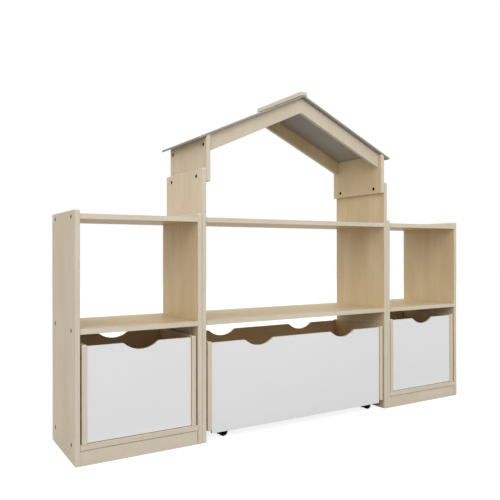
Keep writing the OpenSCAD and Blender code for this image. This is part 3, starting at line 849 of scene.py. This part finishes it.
def setting_tree():
    tree, given = new_tree("set_fasteners", Part="Object", Twist="Float", Seed="Int", Finish="Material")
    way = add(tree, "GeometryNodeInputNamedAttribute", {"data_type": "FLOAT_VECTOR"}, Name=WAY)
    turn = add(tree, "FunctionNodeAlignRotationToVector", {"axis": "Z"}, Vector=way)
    twist = add(tree, "FunctionNodeRandomValue", {"data_type": "FLOAT"}, i3=given["Twist"],
                Seed=given["Seed"])
    around = add(tree, "FunctionNodeAxisAngleToRotation", Axis=(0, 0, 1), Angle=twist.outputs[1])
    both = add(tree, "FunctionNodeRotateRotation", {"rotation_space": "LOCAL"}, i0=turn, i1=around)
    return end_tree(tree, given, part_copies(tree, given, given["Geometry"], both))


SETTING = setting_tree()


def set_parts(name, spots, rings, finish, seed=0):
    """A turned part at each place, as one plain mesh."""
    part = turned("part", rings)
    mesh = bpy.data.meshes.new(name)
    mesh.from_pydata([spot for spot, way in spots], [], [])
    layer = mesh.attributes.new(WAY, "FLOAT_VECTOR", "POINT")
    layer.data.foreach_set("vector", [value for spot, way in spots for value in way])
    result = run_tree(SETTING, new_object(name, mesh), Part=part, Twist=math.tau, Seed=seed,
                      Finish=finish)
    bpy.data.objects.remove(part)
    return result


for node, (kind, slot, finish, seed) in FASTENERS.items():
    ending = "_fluted" if kind == "dowel" else "_turned"
    piece = smoothed(set_parts(node + ending, places[node], KINDS[kind][0], finish, seed))
    if kind == "dowel":
        write_grain(piece, "X")
    install(piece, node, finish)
print("fasteners set:", sum(len(found) for found in places.values()))

# %% [markdown]
# ## Drilling
# For each board, the tree sets the shapes of the holes that reach into it as one mesh, and a
# Boolean modifier takes them away. Two screws can stand head to head in neighbouring boards, so a
# hole counts only where its screw's own length lies inside the board.

# %% Helpers for drilling
STEPS = 20


def reaches(spot, way, length, low, high):
    """Whether a screw that starts at a spot and goes down its way has a part inside a box."""
    steps = [spot - way * length * MM * share / STEPS for share in range(1, STEPS)]
    return any(all(low[i] < step[i] < high[i] for i in range(3)) for step in steps)


def drill(piece, *nodes):
    """Cuts the holes of these nodes' fasteners into a board, where they reach into it."""
    points = vectors(piece.data.vertices, "co")
    low, high = points.min(axis=0), points.max(axis=0)
    for node in nodes:
        rings = KINDS[FASTENERS[node][0]][1]
        length = -min(ring[0] for ring in rings)
        found = [spot for spot in places[node] if reaches(*spot, length, low, high)]
        shapes = set_parts("holes", found, rings, None)
        cut = piece.modifiers.new("drill", "BOOLEAN")
        cut.operation = "DIFFERENCE"
        cut.solver = "EXACT"
        cut.object = shapes
        piece = plain(piece)
        bpy.data.objects.remove(shapes)
    return piece


print("holes can be cut for:", [kind for kind, rings in KINDS.items() if rings[1]])

# %% [markdown]
# ## The case
# Every side, upright, shelf and toe kick is one plain board. The uprights stand with the grain up
# and all their arrises are eased. The shelves butt against them, so only their long arrises are
# eased and their ends stay square and tight. Above the shelves the cabinets' sides end in a low
# rim, which gets no painted shade inside and is as pale there as outside.

# %% Cut the boards of the case
EASED = 3.0
SHELF_EASED = 2.6
SQUARE = 0.05
UPPER_CORNER = 5.0
FOOT_CORNER = 3.2
KICK_JOINT = 2.0
KICK_EASED = 2.0
PARALLEL = 0.99


def plain_board(node, wide, long, thick, top=SQUARE, foot=SQUARE, joint=0):
    """A board from the tree, turned and moved to where its node is.

    `joint` leaves a narrow shadow gap at the far end and along the upper edge.
    """
    low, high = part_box(node)
    high = high - (AXIS[long] + AXIS[wide]) * (joint * MM)
    size = dict(zip("XYZ", high - low))
    base = new_object(node + "_board", bpy.data.meshes.new(node))
    piece = run_tree(BOARD, base, Length=size[long], Width=size[wide], Thickness=size[thick],
                     Top_Radius=top * MM, Foot_Radius=foot * MM)
    columns = [AXIS[wide], AXIS[long], AXIS[thick]]
    if Matrix(columns).determinant() < 0:
        columns[0] = -columns[0]
    turn = Matrix(columns).transposed().to_4x4()
    middle = Matrix.Translation((0, 0, -size[thick] / 2))
    piece.data.transform(Matrix.Translation((low + high) / 2) @ turn @ middle)
    return piece


def runs_along(edge, letter):
    return abs((edge.verts[1].co - edge.verts[0].co).normalized().dot(AXIS[letter])) > PARALLEL


def long_edge(edge):
    """Only the edges along X."""
    return runs_along(edge, "X")


def outline_edge(edge):
    """Edges of the front and back outline, but not those that run from front to back."""
    return not runs_along(edge, "Y")


def finish_board(piece, node, along, inner="", wood=natural_wood, **faces):
    piece = smoothed(piece)
    write_grain(piece, along, inner, **faces)
    install(piece, node, wood)


def parted(piece, height):
    """Parts the faces of a board at one height, so that the painted shade inside can stop below its rim."""
    work = editable(piece.data)
    bmesh.ops.bisect_plane(work, geom=[*work.verts, *work.edges, *work.faces],
                           plane_co=(0, 0, height), plane_no=(0, 0, 1))
    close_into(work, piece.data)
    return piece


def upright(node, inner, *holes):
    piece = plain_board(node, "Y", "Z", "X", UPPER_CORNER, FOOT_CORNER)
    # On a cabinet's side the painted shade of the inner face stops at the top shelf; an upright keeps it to
    # the top.
    piece = parted(drill(soften(piece, EASED, segments=4), *holes), shelf_high.z)
    finish_board(piece, node, "Z", inner, rim=None if "upright" in node else shelf_high.z)


def shelf(node, top):
    piece = soften(plain_board(node, "Y", "X", "Z"), SHELF_EASED, segments=4, keep=long_edge)
    finish_board(drill(piece, "case_screws"), node, "X", top=top)


# Inner faces, the middle shelves' tops and the shelves' undersides get painted shade.
for side, toward_centre, outward in (("left", "+X", "-X"), ("right", "-X", "+X")):
    upright(side + "_outer_side", toward_centre, "case_screws", "kick_dowels")
    upright(side + "_inner_side", outward, "case_screws", "join_bolts", "kick_dowels")
    upright(side + "_upright", toward_centre, "case_screws", "join_bolts")
    shelf(side + "_top_shelf", OUTER)
    shelf(side + "_middle_shelf", SHELF_TOP_SHADE)
    shelf(side + "_bottom_shelf", EDGE)
    kick = plain_board(side + "_toe_kick", "Z", "X", "Y", joint=KICK_JOINT)
    kick = drill(soften(kick, KICK_EASED, keep=long_edge), "kick_dowels")
    finish_board(kick, side + "_toe_kick", "X", "+Y")
shelf("centre_top_shelf", OUTER)
shelf("centre_middle_shelf", SHELF_TOP_SHADE)
print("boards so far:", len(boards_made))

# %% [markdown]
# ## Boards with a sawn outline
# The cheeks, gables, roof sheets, ridge cap and box fronts are each one outline seen from the
# front, cut out of a flat board. So their outlines are drawn in X and Z, and the depth along Y
# comes from the frame. Lines and arcs are enough for all of them.

# %% Helpers for sawn outlines
AHEAD = 0.8


def arc(centre, radius, start, end, steps):
    """Points of an arc from one angle to another, in degrees, counted from +X towards +Z."""
    angles = [math.radians(start + (end - start) * step / steps) for step in range(steps + 1)]
    return [(centre[0] + radius * math.cos(angle), centre[1] + radius * math.sin(angle))
            for angle in angles]


def sawn(node, outline, ending="_board"):
    """A board with an outline of (x, z) points, as deep as its node."""
    low, high = span(node)
    work = bmesh.new()
    rows = [[work.verts.new((x * MM, y * MM, z * MM)) for x, z in outline] for y in (low.y, high.y)]
    for row in rows:
        work.faces.new(row)
    for index in range(len(outline)):
        after = (index + 1) % len(outline)
        work.faces.new((rows[0][index], rows[0][after], rows[1][after], rows[1][index]))
    bmesh.ops.remove_doubles(work, verts=work.verts, dist=1e-6)
    bmesh.ops.recalc_face_normals(work, faces=work.faces)
    return shaped(node + ending, work)


def two_finishes(piece, around, ahead, both_ends=False):
    """One finish around the outline, and another on the front, or on both ends."""
    piece.data.materials.clear()
    for material in (around, ahead):
        piece.data.materials.append(material)
    for polygon in piece.data.polygons:
        toward = abs(polygon.normal.y) if both_ends else -polygon.normal.y
        polygon.material_index = int(toward > AHEAD)


print("cheek:", [round(value, 1) for value in span("right_cheek")[0]])

# %% [markdown]
# ## The roof
# The roof starts from its ridge. Its slope is 24.6 degrees. Two cheeks stand on the inside of the
# uprights with their tops sawn to the slope, and carry a gable in front and one behind. Each
# gable is a chevron sawn from one wide board, with a rounded inner corner. Two thin grey sheets
# lie on the gables, and a cap with a V under it closes the ridge.

# %% Saw the cheeks and the gables
PITCH = math.radians(24.6)
RISE = math.tan(PITCH)
RIDGE = span("front_gable")[1].z
GABLE_HALF = span("front_gable")[1].x
GABLE_HEIGHT = 53.0
GABLE_CORNER = 20.0
GABLE_FACE = 0.3
GABLE_EASED = 1.6
CHEEK_EASED = 2.6


def under_roof(x):
    """The height of the underside of the roof sheets."""
    return RIDGE - RISE * abs(x)


def cheek_outline(side):
    low, high = span("right_cheek")
    inner, outer = low.x * side, high.x * side
    return [(inner, low.z), (outer, low.z), (outer, under_roof(outer)), (inner, under_roof(inner))]


def gable_outline():
    """The chevron: straight upper edges, and a rounded corner under the ridge."""
    degrees = math.degrees(PITCH)
    centre = (0, RIDGE - GABLE_HEIGHT - GABLE_CORNER / math.cos(PITCH))
    eave = under_roof(GABLE_HALF)
    inner_corner = arc(centre, GABLE_CORNER, 90 - degrees, 90 + degrees, 8)
    return [(GABLE_HALF, eave - GABLE_HEIGHT), (GABLE_HALF, eave), (0, RIDGE), (-GABLE_HALF, eave),
            (-GABLE_HALF, eave - GABLE_HEIGHT), *reversed(inner_corner)]


# The inner faces of the cheeks and gables get the painted shade of an inner face.
for node, side, inner in (("left_cheek", -1, "+X"), ("right_cheek", 1, "-X")):
    cheek = soften(sawn(node, cheek_outline(side)), CHEEK_EASED, segments=4)
    finish_board(drill(cheek, "case_screws", "join_bolts"), node, "Z", inner)
for node, inner in (("front_gable", "+Y"), ("back_gable", "-Y")):
    gable = soften(sawn(node, gable_outline()), GABLE_EASED, keep=outline_edge)
    finish_board(drill(gable, "case_screws", "roof_screws"), node, "Z", inner, front=GABLE_FACE)
print("ridge at", round(RIDGE, 1), "mm")

# %% [markdown]
# The sheets are 6.5 mm thick and meet in a mitre under the cap. Their eaves are sawn square, which
# shows as a thin bright line in the picture. A sheet's edge is only just broken, by 0.6 mm,
# because a thicker rounding would look like a soft mat.

# %% Lay the roof sheets and the ridge cap
SHEET = 6.5
SHEET_EASED = 0.6
CAP_GAP = 1.8
CAP_CORNER = 2.0
CAP_EASED = 0.9
cap_high = span("ridge_cap")[1]
sheets_meet = RIDGE + SHEET / math.cos(PITCH)


def sheet_outline(side, eave):
    eave_top = sheets_meet - RISE * eave
    return [(0, RIDGE), (0, sheets_meet), (side * eave, eave_top),
            (side * (eave - SHEET * math.sin(PITCH)), eave_top - SHEET * math.cos(PITCH))]


def cap_outline():
    flank = sheets_meet - RISE * cap_high.x + CAP_GAP
    x, z = cap_high.x - CAP_CORNER, cap_high.z - CAP_CORNER
    return [(0, sheets_meet), (cap_high.x, flank), *arc((x, z), CAP_CORNER, 0, 90, 4),
            *arc((-x, z), CAP_CORNER, 90, 180, 4), (-cap_high.x, flank)]


for node, side in (("left_roof_sheet", -1), ("right_roof_sheet", 1)):
    eave = max(abs(corner.x) for corner in span(node))
    sheet = soften(sawn(node, sheet_outline(side, eave), "_panel"), SHEET_EASED, segments=2)
    sheet = smoothed(drill(sheet, "roof_screws"))
    two_finishes(sheet, grey_paint, sheet_edge, both_ends=True)
    install(sheet, node, None)
cap = soften(sawn("ridge_cap", cap_outline(), "_batten"), CAP_EASED, segments=2)
finish_board(drill(cap, "roof_screws"), "ridge_cap", "Y")
print("cap:", round(2 * cap_high.x, 1), "mm wide")

# %% [markdown]
# ## Bins and the toy chest
# A box has two thick sides, with the front and back boards held between them. The front stands a
# little behind the sides and below them. A round scoop in its upper edge is the finger pull: an
# arc of 80 mm radius that rolls over into the straight edge through two lips of 10 mm.
# The fronts have a white laminate on their outer face only, and their sawn edges show wood.

# %% Build the boxes
SCOOP = 80.0
SCOOP_DEPTH = 22.0
LIP = 10.0
NEAR_JOINT = 0.5
FAR_JOINT = 1.2
END_EASED = 0.9
BOX_EASED = 2.0
BOX_FOOT = 2.0


def scoop_points(x, upper):
    """A scoop from its left lip to its right lip, for an upper edge at a given height."""
    centre = upper - SCOOP_DEPTH + SCOOP
    drop = centre - (upper - LIP)
    half = math.sqrt((SCOOP + LIP) ** 2 - drop ** 2)
    lean = math.degrees(math.atan2(half, drop))
    left_lip = arc((x - half, upper - LIP), LIP, 90, 90 - lean, 6)
    bowl = arc((x, centre), SCOOP, -90 - lean, -90 + lean, 26)
    right_lip = arc((x + half, upper - LIP), LIP, 90 + lean, 90, 6)
    return [*left_lip, *bowl[1:-1], *right_lip]


def box_end(node, scoops, inner, screws):
    """The front or back board: a rectangle with scoops in its upper edge, and narrow joints."""
    low, high = span(node)
    low.x, high.x = low.x + NEAR_JOINT, high.x - FAR_JOINT
    outline = [(high.x, low.z), (low.x, low.z), (low.x, high.z)]
    for share in scoops:
        outline += scoop_points(low.x + (high.x - low.x) * share, high.z)
    board = sawn(node, [*outline, (high.x, high.z)])
    board = smoothed(drill(soften(board, END_EASED, segments=2, keep=outline_edge), screws))
    write_grain(board, "X", inner)
    if node.endswith("front"):
        two_finishes(board, box_wood, white_laminate)
        install(board, node, None)
    else:
        install(board, node, box_wood)


def box_side(node, inner, screws):
    board = soften(plain_board(node, "Y", "Z", "X", UPPER_CORNER, BOX_FOOT), BOX_EASED, segments=4)
    finish_board(drill(board, screws), node, "Z", inner, wood=box_wood)


# Each box's inner faces get the redder painted shade of its wood.
for box, scoops in (("left_bin", [0.5]), ("right_bin", [0.5]), ("chest", [0.25, 0.75])):
    screws = box + "_screws"
    box_end(box + "_front", scoops, "+Y", screws)
    box_end(box + "_back", scoops, "-Y", screws)
    box_side(box + "_left", "+X", screws)
    box_side(box + "_right", "-X", screws)
    holes = (screws, "plate_screws") if box == "chest" else (screws,)
    bottom = drill(plain_board(box + "_floor", "Y", "X", "Z"), *holes)
    finish_board(bottom, box + "_floor", "X", "+Z", wood=box_wood)
print("boards:", len(boards_made))

# %% [markdown]
# ## The casters
# The chest rolls on four small twin casters: a steel plate with a riveted pin, a moulded hood
# that swivels on it, and two wheels on one axle. Only their lower half shows under the skirt, so
# the hood and the plate keep the frame's shapes with their moulded edges softened, and the
# wheels are turned with a rounded tread, a dished face, a hub and a ring of ribs.

# %% Turn the wheels
wheel_low, wheel_high = span("wheels_front_left")
TREAD = (wheel_high.z - wheel_low.z) / 2
FAR = (wheel_high.y - wheel_low.y) / 2
NEAR = FAR - 13.5
RIM = TREAD - 3.5
DISH = 2.5
HUB = 5.6
AXLE = 2.0
BORE = AXLE + 0.1
RIB = 0.8
RIB_COUNT = 10
WHEEL_POINTS = 48
WHEEL_RINGS = [
    # from the bore out over the tread and back in over the dished face
    (NEAR, BORE), (NEAR, TREAD - 2.2), (NEAR + 0.5, TREAD - 1), (NEAR + 1.3, TREAD - 0.25),
    (NEAR + 2.4, TREAD), (NEAR + 6.2, TREAD), (NEAR + 6.4, TREAD - 0.2), (NEAR + 6.7, TREAD - 0.2),
    (NEAR + 6.9, TREAD), (FAR - 2.4, TREAD), (FAR - 1.2, TREAD - 0.3), (FAR - 0.35, TREAD - 1.1),
    (FAR, TREAD - 2.2), (FAR, RIM + 0.3), (FAR - 0.3, RIM), (FAR - DISH + 0.5, RIM - 0.9),
    (FAR - DISH, RIM - 1.6), (FAR - DISH, HUB), (FAR - DISH + 0.3, HUB - 0.5), (FAR - 1.1, HUB - 1),
    (FAR - 0.8, HUB - 1.4), (FAR - 0.8, HUB - 3), (FAR - 1.2, BORE),
]
AXLE_RINGS = [(2 - FAR, AXLE - 0.4), (2.4 - FAR, AXLE), (FAR - 2.4, AXLE), (FAR - 2, AXLE - 0.4)]


def rib_tree():
    """Ribs around the Z axis: one part, copied and turned by equal steps."""
    tree, given = new_tree("ribs", Part="Object", Count="Int", Finish="Material")
    ring = add(tree, "GeometryNodePoints", Count=given["Count"])
    index = add(tree, "GeometryNodeInputIndex")
    step = add(tree, "ShaderNodeMath", {"operation": "DIVIDE"}, i0=math.tau, i1=given["Count"])
    angle = add(tree, "ShaderNodeMath", {"operation": "MULTIPLY"}, i0=step, i1=index)
    turn = add(tree, "ShaderNodeCombineXYZ", Z=angle)
    return end_tree(tree, given, part_copies(tree, given, ring, turn))


RIBS = rib_tree()


def rib(way):
    """One rib in the dish of a wheel, from the hub to the rim."""
    low = Vector((HUB - 0.3, -RIB / 2, (FAR - DISH - 0.3) * way)) * MM
    high = Vector((RIM - 1.2, RIB / 2, (FAR - 1.5) * way)) * MM
    place = Matrix.Translation((low + high) / 2) @ Matrix.Diagonal((*(high - low), 1))
    work = bmesh.new()
    bmesh.ops.create_cube(work, size=1, matrix=place)
    bmesh.ops.recalc_face_normals(work, faces=work.faces)
    bmesh.ops.bevel(work, geom=work.edges[:], offset=0.15 * MM, segments=1, affect="EDGES")
    return shaped("rib", work)


def wheel_pair(name):
    """Two wheels on the Z axis, one each way, with ribs in their dished faces."""
    work = bmesh.new()
    for way in (1, -1):
        rings = [(height * way, radius) for height, radius in WHEEL_RINGS]
        one = rib(way)
        base = new_object("ribs", bpy.data.meshes.new("ribs"))
        ribs = run_tree(RIBS, base, Part=one, Count=RIB_COUNT, Finish=black_wheel)
        for part in (turned("wheel", rings, WHEEL_POINTS, bored=True), ribs):
            work.from_mesh(part.data)
            bpy.data.objects.remove(part)
        bpy.data.objects.remove(one)
    return shaped(name, work)


def merged(node, name, radius):
    """A copy of a CAD node with its flat faces joined and its arrises softened."""
    work = editable(frame["nodes"][node].data)
    bmesh.ops.remove_doubles(work, verts=work.verts, dist=1e-6)
    bmesh.ops.dissolve_limit(work, angle_limit=math.radians(1), verts=work.verts, edges=work.edges)
    return smoothed(soften(shaped(name, work), radius, segments=2))


for corner in ("front_left", "front_right", "back_left", "back_right"):
    low, high = span("wheels_" + corner)
    to_axle = Matrix.Translation((low + high) / 2 * MM) @ Matrix.Rotation(math.radians(-90), 4, "X")
    wheels = wheel_pair("wheels_" + corner + "_pair")
    axle = turned("axle_" + corner + "_pin", AXLE_RINGS)
    for piece in (wheels, axle):
        piece.data.transform(to_axle)
    install(smoothed(wheels), "wheels_" + corner, black_wheel)
    install(smoothed(axle), "axle_" + corner, zinc)
    hood = merged("hood_" + corner, "hood_" + corner + "_moulded", 0.4)
    install(hood, "hood_" + corner, black_body)
install(merged("caster_plates", "caster_plates_pressed", 0.3), "caster_plates", zinc)
print("casters: 4, wheel", round(2 * TREAD, 1), "mm")

# %% [markdown]
# Both boxes are printed, the construction's and the dressed bookcase's.

# %% Write both boxes
visual_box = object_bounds()
for name, box in (("construction", cad_box), ("dressed", visual_box)):
    print(name, [[round(value, 4) for value in corner] for corner in box])
